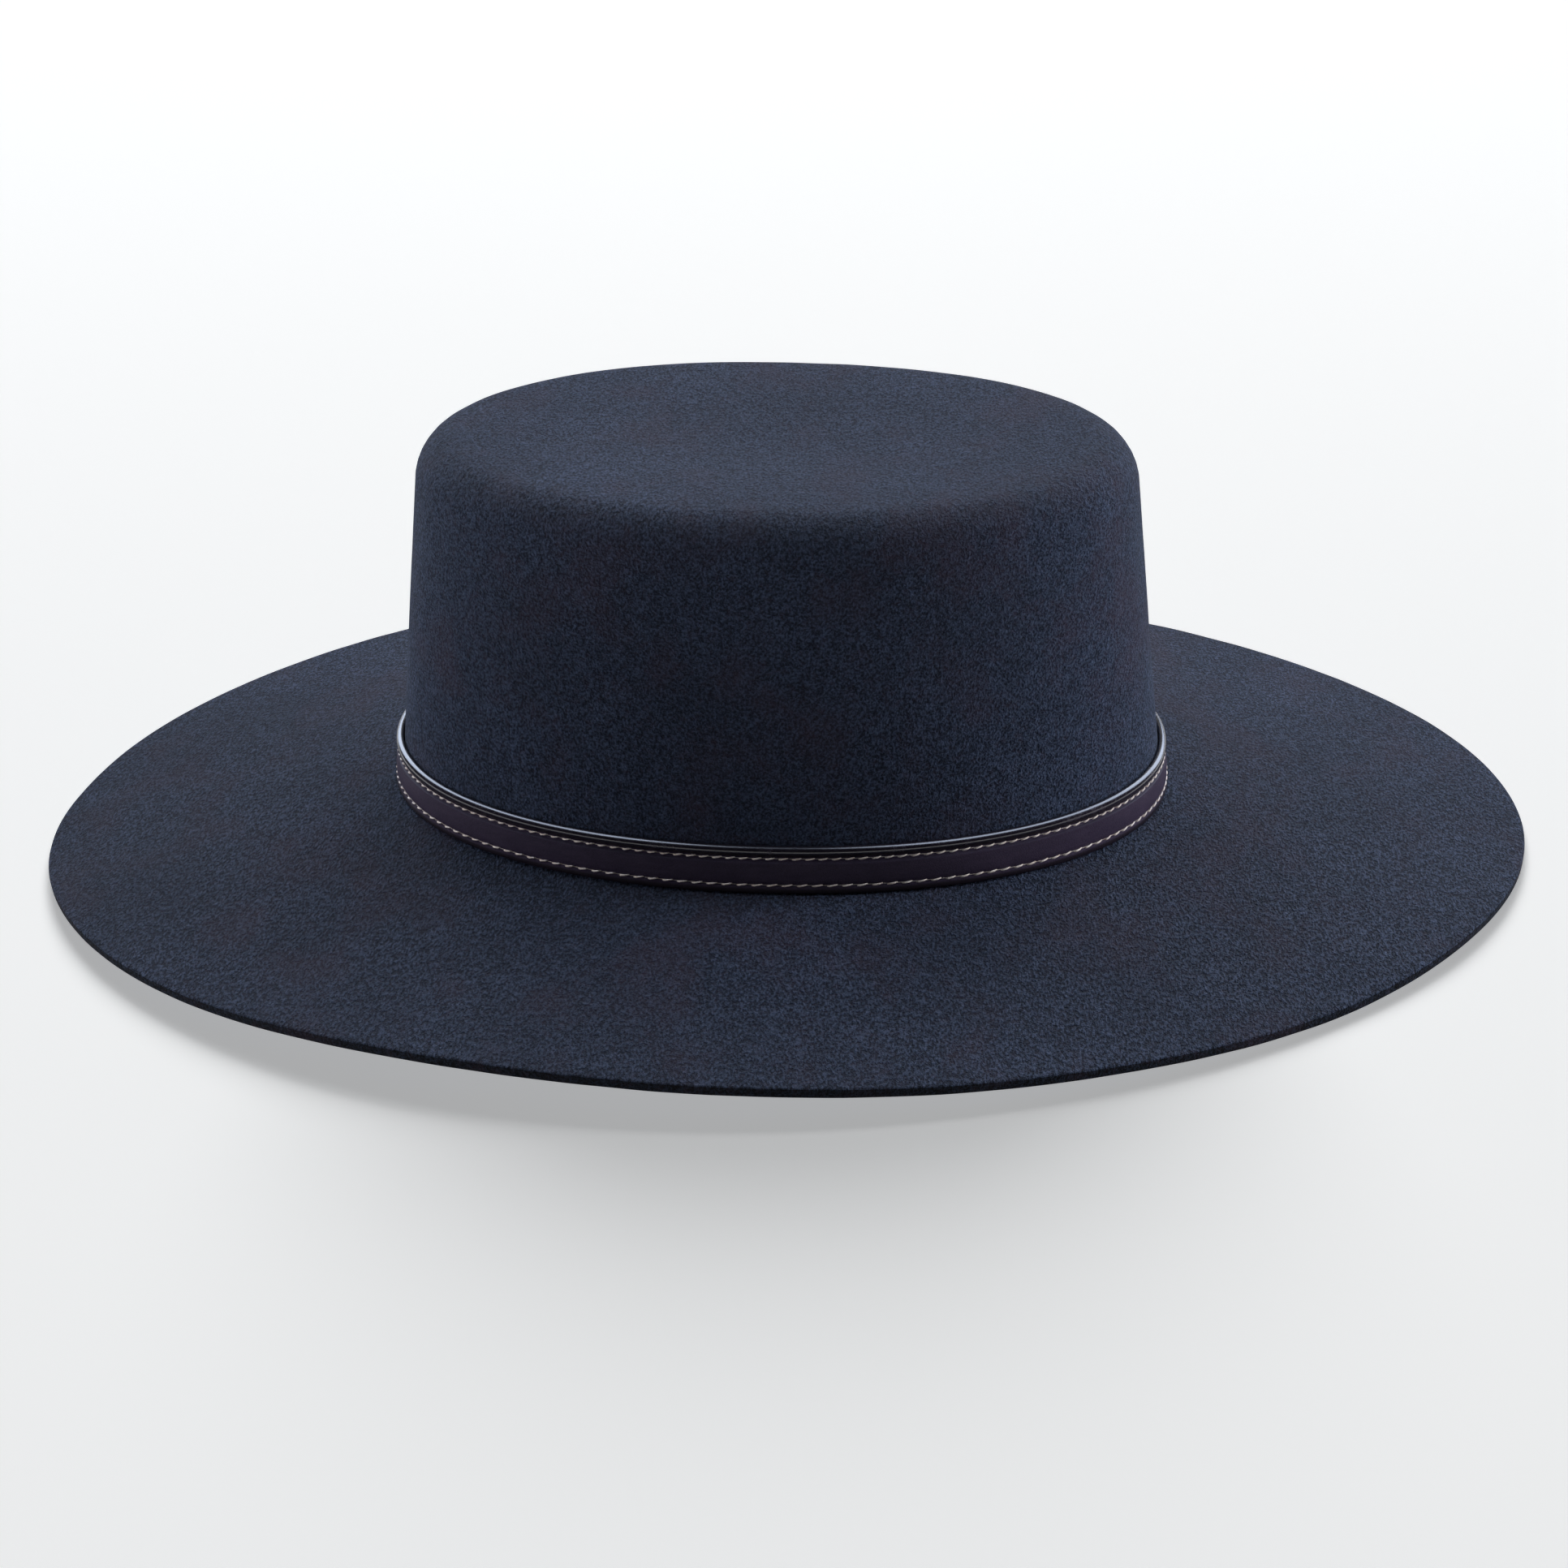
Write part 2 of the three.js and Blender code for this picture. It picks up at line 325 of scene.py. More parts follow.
class Finish:
    """A material whose node tree is written as expressions."""

    def __init__(self, name):
        self.material = bpy.data.materials.new(name)
        self.material.use_nodes = True
        self.tree = self.material.node_tree
        self.tree.nodes.clear()

    def node(self, kind, settings, inputs, output=0):
        """Adds a node, sets it, and fills its sockets with values or links."""
        node = self.tree.nodes.new(kind)
        for key, value in settings.items():
            setattr(node, key, value)
        for key, value in inputs.items():
            if isinstance(value, Value):
                self.tree.links.new(value.socket, node.inputs[key])
            else:
                node.inputs[key].default_value = value
        return Value(self, node.outputs[output]) if node.outputs else None

    def place(self):
        """Where a point lies on its own piece, in metres."""
        return self.node("ShaderNodeTexCoord", {}, {}, "Object")

    def axis_part(self, vector, axis):
        """One coordinate of a place, in metres: X, Y or Z."""
        return self.node("ShaderNodeSeparateXYZ", {}, {"Vector": vector}, axis)

    def stretched(self, vector, scale, turned=(0, 0, 0)):
        """A place scaled along its axes, so that a pattern on it is drawn out or turned."""
        return self.node(
            "ShaderNodeMapping", {}, {"Vector": vector, "Scale": scale, "Rotation": turned},
        )

    def cloud(self, vector, size, detail=2.0, rough=0.5, twist=0.0):
        """Soft noise whose blots are about size metres across."""
        return self.node(
            "ShaderNodeTexNoise", {"noise_dimensions": "3D"},
            {
                "Vector": vector, "Scale": 0.5 / size, "Detail": detail,
                "Roughness": rough, "Distortion": twist,
            },
        )

    def contrast(self, value, low, high):
        """0 below low and 1 above high, smoothly."""
        # Sockets: the value, the range that it comes from and the range that it goes to
        return self.node(
            "ShaderNodeMapRange", {"interpolation_type": "SMOOTHSTEP"},
            {0: value, 1: low, 2: high, 3: 0.0, 4: 1.0},
        )

    def strands(self, vector, size, loops, width, twist):
        """Thin tangled lines: the contours of soft noise."""
        field = self.cloud(vector, size, 1.0, 0.5, twist)
        wave = self.node(
            "ShaderNodeMath", {"operation": "PINGPONG"}, {0: field * loops, 1: 0.5},
        )
        return 1 - self.contrast(wave, 0.0, width)

    def blend(self, factor, first, second):
        """Mixes two colours."""
        # Among the node's sockets, 6 and 7 are its colours and output 2 is their mix
        return self.node(
            "ShaderNodeMix", {"data_type": "RGBA"},
            {0: factor, 6: solid(first), 7: solid(second)}, 2,
        )

    def bump(self, height, depth, strength=1.0, under=None):
        """A surface that seems raised by height times depth, on top of another bump."""
        inputs = {"Height": height, "Distance": depth, "Strength": strength}
        if under:
            inputs["Normal"] = under
        return self.node("ShaderNodeBump", {}, inputs)

    def close(self, sockets):
        """Ends the tree in one Principled shader with these sockets."""
        shader = self.node("ShaderNodeBsdfPrincipled", {}, sockets)
        self.node("ShaderNodeOutputMaterial", {}, {"Surface": shader})
        return self.material


def solid(value):
    """A colour as a socket wants it, or a link as it is."""
    return value if isinstance(value, Value) else (*value, 1)


def felt_finish(felt, look, name, cut):
    """Matted wool: mottled ground, short brushed fibres and a bloom at low angles.

    The nap is coarser on the brim than on the crown, and the cut edge is darker than both.
    """
    finish = Finish(name)
    place = finish.place()
    foot = felt.foot_height
    on_crown = finish.contrast(finish.axis_part(place, "Z"), foot, foot + 10 * MM)
    coarse = 1.3 - on_crown * 0.3
    brushed = finish.stretched(place, (1, 0.42, 0.95))
    crossed = finish.stretched(place, (1, 0.60, 0.9), (0.1, 0.2, 0.3))
    mottle = finish.cloud(place, 30 * MM, 4.0, 0.6)
    grain = finish.cloud(brushed, 0.31 * MM, 2.0, 0.6, 0.3)
    clumps = finish.cloud(crossed, 1.2 * MM, 2.0, 0.6, 0.8)
    hairs = finish.strands(brushed, 1.0 * MM, 5.0, 0.20, 1.2)
    fine_hairs = finish.strands(crossed, 0.6 * MM, 4.0, 0.16, 1.0)
    specks = finish.contrast(finish.cloud(place, 0.9 * MM, 2.0, 0.6), 0.52, 0.68)
    stains = finish.contrast(finish.cloud(crossed, 11 * MM, 3.0, 0.6), 0.46, 0.72)

    # How pale the nap is: its tips stand out more where it is coarse
    pale = (
        finish.contrast(grain, 0.36, 0.68) * 0.68
        + hairs * 0.16
        + fine_hairs * 0.12
        + finish.contrast(clumps, 0.38, 0.70) * 0.18
        - 0.08
    ) * coarse - (coarse - 1) * 0.40
    pale = pale * (finish.contrast(mottle, 0.30, 0.70) * 0.45 + 0.75)
    ground = look.cut_wool if cut else look.wool
    nap = [part * 0.3 for part in look.fibre] if cut else look.fibre
    wool = finish.blend(pale, ground, nap)
    wool = finish.blend(specks * 0.20 + stains * 0.32, wool, look.plum)
    height = (grain + hairs * 0.15 + fine_hairs * 0.10 + clumps * 0.25) * coarse
    fuzz = finish.bump(height, 1.3 * MM)
    return finish.close({
        "Base Color": wool,
        "Roughness": 0.96,
        "Specular IOR Level": 0.22,
        "Sheen Weight": look.bloom_weight * (0.2 if cut else 1),
        "Sheen Roughness": 0.5,
        "Sheen Tint": solid(look.bloom),
        "Normal": fuzz,
    })


def leather_finish(felt, band, look):
    """Dyed leather with a fine grain and a satin face, painted black as shade at its foot and
    under its bead.
    """
    finish = Finish("band_leather_satin")
    place = finish.place()
    # The height over the brim's top at the crown, up the crown's leaning axis
    along = finish.axis_part(place, "X") * math.sin(felt.lean)
    height = along + finish.axis_part(place, "Z") * math.cos(felt.lean) - felt.foot_height
    # Painted shade: the leather turns black towards its foot, where the band meets the brim
    foot = 1 - finish.contrast(height, band.gap + 0.9 * MM, band.gap + 1.7 * MM)
    # Just over its upper row the leather turns in under the bead. From there up to the bead,
    # painted shade darkens it
    crevice = band.gap + band.upper_row + 0.2 * MM
    painted_shade = foot + finish.contrast(height, crevice, crevice + 0.5 * MM)
    rubbed = finish.contrast(finish.cloud(place, 12 * MM, 3.0, 0.6), 0.45, 0.75)
    cells = finish.node(
        "ShaderNodeTexVoronoi", {"feature": "DISTANCE_TO_EDGE"},
        {"Vector": place, "Scale": PORES_PER_METRE, "Randomness": 1.0},
    )
    creases = finish.contrast(cells, 0.0, 0.16)
    fine = finish.cloud(place, 0.22 * MM, 2.0, 0.6)
    streaks = finish.cloud(finish.stretched(place, (1, 1, 6)), 4 * MM, 2.0, 0.6)
    hide = finish.blend(
        rubbed * 0.35 + finish.contrast(streaks, 0.4, 0.7) * 0.25, look.hide, look.worn,
    )
    hide = finish.blend((1 - creases) * 0.30, hide, look.pore_and_shade)
    # Painted shade at the band's foot and under its bead, in the near-black pore colour
    hide = finish.blend(painted_shade * 0.85, hide, look.pore_and_shade)
    grain = finish.bump(creases * 0.7 + fine * 0.5, 0.06 * MM, 0.55)
    soft = finish.bump(finish.cloud(place, 6 * MM, 1.0), 0.4 * MM, 0.25, grain)
    return finish.close({
        "Base Color": hide,
        "Roughness": rubbed * -0.06 + fine * 0.12 + 0.50,
        "Specular IOR Level": 0.30,
        "Normal": soft,
    })


def bead_finish(look):
    """The band's rolled edge: the same leather, waxed and polished."""
    finish = Finish("band_bead_polished")
    place = finish.place()
    scuffs = finish.contrast(finish.cloud(place, 3 * MM, 3.0, 0.65), 0.50, 0.75)
    fine = finish.cloud(place, 0.30 * MM, 2.0, 0.6)
    hide = finish.blend(scuffs * 0.30 + fine * 0.15, look.bead, look.worn)
    return finish.close({
        "Base Color": hide,
        "Roughness": scuffs * 0.08 + fine * 0.06 + 0.21,
        "Specular IOR Level": 0.8,
        "IOR": 1.75,
        "Normal": finish.bump(fine, 0.03 * MM, 0.30),
    })


def thread_finish(sizes):
    """Waxed linen thread, twisted from fine strands."""
    finish = Finish("band_thread_linen")
    place = finish.place()
    twisted = finish.stretched(place, (1, 1, 2.4), (0.5, 0.3, 0.2))
    plies = finish.cloud(twisted, 0.18 * MM, 1.0)
    soil = finish.cloud(place, 4 * MM, 2.0)
    shade = finish.contrast(plies, 0.35, 0.62) * 0.7 + finish.contrast(soil, 0.35, 0.65) * 0.3
    strand = finish.blend(shade, sizes.ochre, sizes.cream)
    return finish.close({
        "Base Color": strand,
        "Roughness": 0.38,
        "Specular IOR Level": 0.9,
        "IOR": 1.9,
        "Sheen Weight": 0.6,
        "Sheen Roughness": 0.4,
        "Normal": finish.bump(plies, 0.1 * MM, 0.6),
    })


def floor_finish(stage):
    """A plain pale floor, a little brighter than its lights make it."""
    finish = Finish("stage_floor")
    clouds = finish.cloud(finish.place(), 0.8)
    duller = [0.985 * part for part in stage.floor_colour]
    tone = finish.blend(clouds, stage.floor_colour, duller)
    return finish.close({
        "Base Color": tone, "Roughness": 0.9, "Specular IOR Level": 0.1,
        "Emission Color": solid(stage.floor_colour), "Emission Strength": stage.glow,
    })


# Shape of the hat
def unit_oval(angle, fullness):
    """A point on a unit oval: fullness 2 is an ellipse, and more is squarer."""
    c = math.cos(angle)
    s = math.sin(angle)
    reach = (abs(c) ** fullness + abs(s) ** fullness) ** (-1 / fullness)
    return c * reach, s * reach


def crown_point(felt, angle, halves, height):
    """A point on a level oval of the crown, height up its own axis."""
    c, s = unit_oval(angle, felt.crown_fullness)
    x = halves[0] * c - felt.set_back * height / felt.crown_height
    return Vector((
        x * math.cos(felt.lean) + height * math.sin(felt.lean),
        halves[1] * s,
        felt.foot_height - x * math.sin(felt.lean) + height * math.cos(felt.lean),
    ))


def wall_halves(felt, height, inset):
    """The crown wall's half-axes at a height, less an inset."""
    share = height / felt.crown_height
    return (
        felt.foot_half_length - felt.taper_length * share - inset,
        felt.foot_half_width - felt.taper_width * share - inset,
    )


def wall_point(felt, angle, height, inset):
    """A point of the crown's wall at a height, moved in by an inset."""
    return crown_point(felt, angle, wall_halves(felt, height, inset), height)


def axis_height(felt, point):
    """How far up the crown's axis a point lies, from the brim's top at the crown's foot."""
    return (point.z - felt.foot_height) * math.cos(felt.lean) + point.x * math.sin(felt.lean)


def edge_lift(felt, angle):
    """The brim edge's height above the floor: a smooth curve, pressed flat where it rests."""
    lifts = felt.edge_lifts
    steps = (angle / FULL_TURN) * len(lifts)
    row = math.floor(steps)
    before, near, far, after = [lifts[(row + i) % len(lifts)] for i in (-1, 0, 1, 2)]
    share = steps - row
    bend = 2 * before - 5 * near + 4 * far - after
    twist = 3 * (near - far) + after - before
    lift = near + 0.5 * share * (far - before + share * (bend + share * twist))
    return max(0.0, lift - felt.rest_flattening)


def brim_top(felt, angle, share):
    """A point of the brim's top face: share is 0 at the crown and 1 at the cut edge."""
    root = crown_point(felt, angle, (felt.foot_half_length, felt.foot_half_width), 0)
    c, s = unit_oval(angle, felt.brim_fullness)
    edge = Vector((
        felt.brim_half_length * c,
        felt.brim_half_width * s,
        edge_lift(felt, angle) + felt.thickness,
    ))
    return root.lerp(edge, share)


def outward(angle):
    """The level direction away from the hat's middle."""
    return Vector((math.cos(angle), math.sin(angle), 0))


def spread(first, last, steps):
    """Even steps from first to last, both included."""
    return [first + (last - first) * i / (steps - 1) for i in range(steps)]


def top_ring(felt, share):
    """Across the crown's dished top."""
    corner = felt.crown_height - felt.edge_radius
    halves = [share * half for half in wall_halves(felt, corner, felt.edge_radius)]
    dish = felt.dish_depth * 0.5 * (1 + math.cos(math.pi * share))
    return lambda angle: (
        crown_point(felt, angle, halves, felt.crown_height - dish), Vector((0, 0, 1)),
    )


def corner_ring(felt, bend):
    """Round the crown's edge: bend is a quarter turn at its top and 0 at its wall."""
    corner = felt.crown_height - felt.edge_radius
    halves = wall_halves(felt, corner, felt.edge_radius * (1 - math.cos(bend)))
    height = corner + felt.edge_radius * math.sin(bend)
    rise = Vector((0, 0, math.sin(bend)))
    return lambda angle: (
        crown_point(felt, angle, halves, height), outward(angle) * math.cos(bend) + rise,
    )


def wall_ring(felt, height, band_top):
    """Down the crown's wall. The felt is even behind the band."""
    free = min(1, max(0, (height - band_top) / WALL_FADE))
    return lambda angle: (wall_point(felt, angle, height, 0), outward(angle) * free)


def break_share(felt):
    """Where the rounding between wall and brim ends, as a share of the brim."""
    return felt.break_radius / (felt.brim_half_length - felt.foot_half_length)


def break_ring(felt, bend):
    """Round the inner corner between wall and brim: bend runs from 0 to a quarter turn."""
    def ring(angle):
        on_wall = wall_point(felt, angle, felt.break_radius, 0)
        on_brim = brim_top(felt, angle, break_share(felt))
        corner = wall_point(felt, angle, 0, 0)
        part = bend / QUARTER_TURN
        curve = (
            on_wall * (1 - part) ** 2 + corner * (2 * part * (1 - part)) + on_brim * part ** 2
        )
        return curve, Vector((0, 0, 0))

    return ring


def brim_ring(felt, share):
    """Out along the brim's top. The felt is even beside the band."""
    free = min(1, max(0, (share - BRIM_FADE_START) / BRIM_FADE))
    return lambda angle: (brim_top(felt, angle, share), Vector((0, 0, free)))


def felt_rings(felt, band):
    """Rings of the felt's upper face, from the crown's middle to the brim's cut edge."""
    corner = felt.crown_height - felt.edge_radius
    band_top = band.gap + band.height
    shares = [i / TOP_RINGS for i in range(1, TOP_RINGS + 1)]
    bends = [QUARTER_TURN * (1 - i / CORNER_RINGS) for i in range(1, CORNER_RINGS + 1)]
    heights = spread(corner, felt.break_radius, WALL_RINGS + 1)[1:]
    break_bends = [QUARTER_TURN * i / (BREAK_RINGS + 1) for i in range(1, BREAK_RINGS + 1)]
    first = break_share(felt)
    brims = [first + (1 - first) * (i / BRIM_RINGS) for i in range(BRIM_RINGS + 1)]
    return (
        [top_ring(felt, share) for share in shares]
        + [corner_ring(felt, bend) for bend in bends]
        + [wall_ring(felt, height, band_top) for height in heights]
        + [break_ring(felt, bend) for bend in break_bends]
        + [brim_ring(felt, share) for share in brims]
    )


def unevenness(felt, point):
    """How far hand-blocked felt stands off its true shape at a point."""
    broad = noise.noise(point * BROAD_WAVES_PER_METRE)
    small = noise.noise(point * SMALL_WAVES_PER_METRE + SMALL_WAVES_SHIFT)
    return felt.broad_waves * broad + felt.small_waves * small


# Modelling
def add_circle(sections, filled):
    """Adds a circle in edit mode, with its points numbered round it."""
    if bpy.context.mode != "OBJECT":
        bpy.ops.object.mode_set(mode="OBJECT")
    bpy.ops.object.select_all(action="DESELECT")
    bpy.ops.mesh.primitive_circle_add(
        vertices=sections, radius=START_RADIUS,
        fill_type="TRIFAN" if filled else "NOTHING",
    )
    piece = bpy.context.object
    bpy.ops.object.mode_set(mode="EDIT")
    bpy.ops.mesh.select_mode(type="VERT")
    bpy.ops.mesh.select_all(action="DESELECT")
    mesh = bmesh.from_edit_mesh(piece.data)
    section = mesh.verts.layers.int.new("section")
    rim = [vertex for vertex in mesh.verts if vertex.co.length > START_RADIUS / 2]
    for i, vertex in enumerate(rim):
        vertex[section] = i
        vertex.select = True
    mesh.select_flush_mode()
    bmesh.update_edit_mesh(piece.data)
    return piece


def shape_ring(piece, sections, point_at):
    """Moves the selected ring onto the points that a function gives."""
    mesh = bmesh.from_edit_mesh(piece.data)
    section = mesh.verts.layers.int["section"]
    for vertex in mesh.verts:
        if vertex.select:
            vertex.co = point_at(FULL_TURN * vertex[section] / sections)
    bmesh.update_edit_mesh(piece.data)


def grow_rings(piece, sections, rings):
    """Shapes the selected circle as the first ring, and extrudes it into the others."""
    for i, point_at in enumerate(rings):
        if i:
            bpy.ops.mesh.extrude_edges_move()
        shape_ring(piece, sections, point_at)


def apply_modifier(piece, kind, **settings):
    """Adds a modifier to a piece, sets it and applies it."""
    modifier = piece.modifiers.new(kind.title(), kind)
    for key, value in settings.items():
        setattr(modifier, key, value)
    bpy.ops.object.modifier_apply(modifier=modifier.name)


def closed_ring(sections, profile, place):
    """A ring whose section is a closed profile of (out, up) points."""
    piece = add_circle(sections, False)
    rings = [lambda angle, out=out, up=up: place(angle, out, up) for out, up in profile]
    grow_rings(piece, sections, rings + rings[:1])
    bpy.ops.mesh.select_all(action="SELECT")
    bpy.ops.mesh.remove_doubles(threshold=WELD_DISTANCE)
    bpy.ops.mesh.normals_make_consistent(inside=False)
    bpy.ops.object.mode_set(mode="OBJECT")
    bpy.ops.object.shade_smooth()
    return piece


def finish_piece(piece, name, materials):
    """Names a piece, gives it its materials and sets it on the hat's body."""
    piece.name = name
    piece.data.name = name
    for material in materials:
        piece.data.materials.append(material)
    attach(piece, "root")


def band_profile(felt, band):
    """The band's section, out from the crown's wall and up from the brim, from its foot."""
    inner = band.gap
    face = band.gap + band.thickness
    foot = band.gap
    top = foot + band.height
    low = foot + band.lower_row
    high = foot + band.upper_row
    half = band.groove_half_width
    round_foot = [
        (inner, foot + felt.break_radius),
        (inner + felt.break_radius, foot),
        (face - band.foot_rounding, foot),
        (face - band.foot_rounding * 0.3, foot + band.foot_rounding * 0.3),
        (face, foot + band.foot_rounding),
    ]

    def groove(height):
        """Down to the bottom of a row's groove and most of the way up again."""
        return [
            (face - band.groove_depth * depth, height + half * across)
            for across, depth in GROOVE_FORM
        ]

    middle = [
        (face + band.pillow * math.sin(math.pi * share), low + (high - low) * part)
        for share, part in SWELL_FORM
    ]
    centre_up = top - band.bead_radius
    centre_out = inner + band.thickness - band.bead_radius + BEAD_OVERHANG
    bead = [
        (
            centre_out + band.bead_radius * math.cos(bend),
            centre_up + band.bead_radius * math.sin(bend),
        )
        for bend in [math.radians(degrees) for degrees in BEAD_ARC]
    ]
    inside = [
        (inner, top - BEAD_INNER_DROP),
        (inner, foot + band.height * 0.6),
        (inner, foot + band.height * 0.3),
    ]
    return round_foot + groove(low) + middle + groove(high) + bead + inside


def even_angles(felt, height, out, total):
    """Angles that stand the same distance apart along the crown's wall, and that distance."""
    points = [
        wall_point(felt, FULL_TURN * i / GIRTH_STEPS, height, -out)
        for i in range(GIRTH_STEPS + 1)
    ]
    runs = [0.0]
    for before, after in zip(points, points[1:]):
        runs.append(runs[-1] + (after - before).length)
    angles = []
    i = 0
    for k in range(total):
        goal = runs[-1] * k / total
        while runs[i + 1] < goal:
            i += 1
        part = (goal - runs[i]) / (runs[i + 1] - runs[i])
        angles.append(FULL_TURN * (i + part) / GIRTH_STEPS)
    return angles, runs[-1] / total


def add_stitch(size, thickness):
    """One stitch: a short rod, swollen in the middle, whose ends dip into the leather."""
    bpy.ops.object.select_all(action="DESELECT")
    bpy.ops.mesh.primitive_cylinder_add(
        vertices=STITCH_SIDES, radius=thickness / 2, depth=size,
        rotation=(0, QUARTER_TURN, 0),
    )
    stitch = bpy.context.object
    bpy.ops.object.transform_apply(location=True, rotation=True, scale=True)
    bpy.ops.object.mode_set(mode="EDIT")
    bpy.ops.mesh.select_all(action="DESELECT")
    bpy.ops.mesh.select_mode(type="EDGE")
    mesh = bmesh.from_edit_mesh(stitch.data)
    for edge in mesh.edges:
        run = edge.verts[0].co - edge.verts[1].co
        edge.select = abs(run.x) > size / 2
    mesh.select_flush_mode()
    bmesh.update_edit_mesh(stitch.data)
    bpy.ops.mesh.subdivide(number_cuts=STITCH_CUTS)
    mesh = bmesh.from_edit_mesh(stitch.data)
    for vertex in mesh.verts:
        # From -1 at the thicker end to 1 at the thinner one
        share = 2 * vertex.co.x / size
        blunt = math.sqrt(max(0.0, 1 - STITCH_NARROWING * share ** 4))
        waist = blunt * (STITCH_MEAN - STITCH_TAPER * share)
        vertex.co.y *= waist
        vertex.co.z *= waist
        vertex.co.y -= thickness * STITCH_DIP * share ** 6
    bmesh.update_edit_mesh(stitch.data)
    bpy.ops.object.mode_set(mode="OBJECT")
    bpy.ops.object.shade_smooth()
    return stitch


def lay_stitches(felt, band, stitches, row, total):
    """A row of stitches, each a copy of one, joined into one piece."""
    height = band.gap + row
    out = band.gap + band.thickness - STITCH_SINK
    angles, spacing = even_angles(felt, height, out, total)
    first = add_stitch(spacing * stitches.share, stitches.thickness)
    copies = []
    for k, angle in enumerate(angles):
        spot = wall_point(felt, angle, height, -out)
        along = (wall_point(felt, angle + SMALL_TURN, height, -out) - spot).normalized()
        face = along.cross(Vector((0, 0, 1))).normalized()
        up = face.cross(along)
        wobble = STITCH_WOBBLE * noise.noise(Vector((k * 0.9, total, 0.3)))
        lean = Matrix.Rotation(-stitches.slant + wobble, 4, "Y")
        frame_axes = Matrix((along, face, up)).transposed().to_4x4()
        copy = first.copy()
        copy.data = first.data.copy()
        copy.matrix_world = Matrix.Translation(spot) @ frame_axes @ lean
        bpy.context.collection.objects.link(copy)
        copies.append(copy)
    bpy.data.objects.remove(first)
    bpy.ops.object.select_all(action="DESELECT")
    for copy in copies:
        copy.select_set(True)
    bpy.context.view_layer.objects.active = copies[0]
    bpy.ops.object.join()
    bpy.ops.object.transform_apply(location=True, rotation=True, scale=True)
    return bpy.context.object


def lay_thread(felt, band, stitches, row, total):
    """The thread that shows between a row's stitches, at the bottom of its groove."""
    height = band.gap + row
    out = band.gap + band.thickness - band.groove_depth + stitches.thread * THREAD_RISE
    profile = [
        (
            out + stitches.thread / 2 * math.cos(FULL_TURN * i / THREAD_SIDES),
            height + stitches.thread / 2 * math.sin(FULL_TURN * i / THREAD_SIDES),
        )
        for i in range(THREAD_SIDES)
    ]
    return closed_ring(
        total * THREAD_STEPS, profile,
        lambda angle, outer, up: wall_point(felt, angle, up, -outer),
    )


# Operators
class HAT_OT_make_felt(bpy.types.Operator):
    """Make the felt: crown and brim, blocked from one piece"""

    bl_idname = "hat.make_felt"
    bl_label = "Make Felt"
    bl_options = {"REGISTER", "UNDO"}

    def execute(self, context):
        felt = context.scene.hat_felt
        look = context.scene.hat_felt_look
        piece = add_circle(felt.sections, True)

        def moved(ring):
            """The same ring with the felt's unevenness."""
            def point_at(angle):
                point, push = ring(angle)
                return point + push * unevenness(felt, point)
            return point_at

        rings = [moved(ring) for ring in felt_rings(felt, context.scene.hat_band)]
        grow_rings(piece, felt.sections, rings)
        mesh = bmesh.from_edit_mesh(piece.data)
        pole = min(mesh.verts, key=lambda vertex: vertex.co.xy.length)
        spot, push = top_ring(felt, 0)(0)
        pole.co = spot + push * unevenness(felt, spot)
        bmesh.update_edit_mesh(piece.data)
        bpy.ops.mesh.select_all(action="SELECT")
        bpy.ops.mesh.normals_make_consistent(inside=False)
        # The sheet is still open, so its normals are turned upwards by hand
        mesh = bmesh.from_edit_mesh(piece.data)
        mesh.normal_update()
        highest = max(mesh.faces, key=lambda face: face.calc_center_median().z)
        if highest.normal.z < 0:
            bpy.ops.mesh.flip_normals()
        bpy.ops.object.mode_set(mode="OBJECT")
        nap = felt_finish(felt, look, "felt_nap", False)
        cut_edge = felt_finish(felt, look, "felt_cut_edge", True)
        finish_piece(piece, "felt_hat_body", [nap, cut_edge])
        apply_modifier(
            piece, "SOLIDIFY", thickness=felt.thickness, offset=-1, use_even_offset=True,
            use_quality_normals=True, use_rim=True, material_offset_rim=1,
        )
        apply_modifier(
            piece, "BEVEL", width=felt.edge_rounding, segments=EDGE_SEGMENTS,
            limit_method="ANGLE", angle_limit=EDGE_BEND,
        )
        # The brim is pressed flat where it rests, and nothing reaches below the floor
        for vertex in piece.data.vertices:
            vertex.co.z = max(0.0, vertex.co.z)
        bpy.ops.object.shade_smooth()
        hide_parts("felt_body")
        return {"FINISHED"}


class HAT_OT_make_band(bpy.types.Operator):
    """Make the leather band with its rolled top edge and two grooves"""

    bl_idname = "hat.make_band"
    bl_label = "Make Band"
    bl_options = {"REGISTER", "UNDO"}

    def execute(self, context):
        felt = context.scene.hat_felt
        band = context.scene.hat_band
        piece = closed_ring(
            band.sections, band_profile(felt, band),
            lambda angle, out, up: wall_point(felt, angle, up, -out),
        )
        look = context.scene.hat_band_look
        hide = leather_finish(felt, band, look)
        bead = bead_finish(look)
        finish_piece(piece, "leather_hat_band", [hide, bead])
        bead_foot = band.gap + band.height - POLISH_SHARE * band.bead_radius
        for face in piece.data.polygons:
            face.material_index = int(axis_height(felt, face.center) > bead_foot)
        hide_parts("leather_band")
        return {"FINISHED"}


class HAT_OT_make_stitching(bpy.types.Operator):
    """Make the two rows of cream stitches and the thread between them"""

    bl_idname = "hat.make_stitching"
    bl_label = "Make Stitching"
    bl_options = {"REGISTER", "UNDO"}

    def execute(self, context):
        felt = context.scene.hat_felt
        band = context.scene.hat_band
        stitches = context.scene.hat_stitches
        linen = thread_finish(stitches)
        rows = (
            ("upper", band.upper_row, stitches.upper_count),
            ("lower", band.lower_row, stitches.lower_count),
        )
        for name, row, total in rows:
            piece = lay_stitches(felt, band, stitches, row, total)
            finish_piece(piece, f"{name}_stitches", [linen])
            thread = lay_thread(felt, band, stitches, row, total)
            finish_piece(thread, f"{name}_thread", [linen])
        return {"FINISHED"}


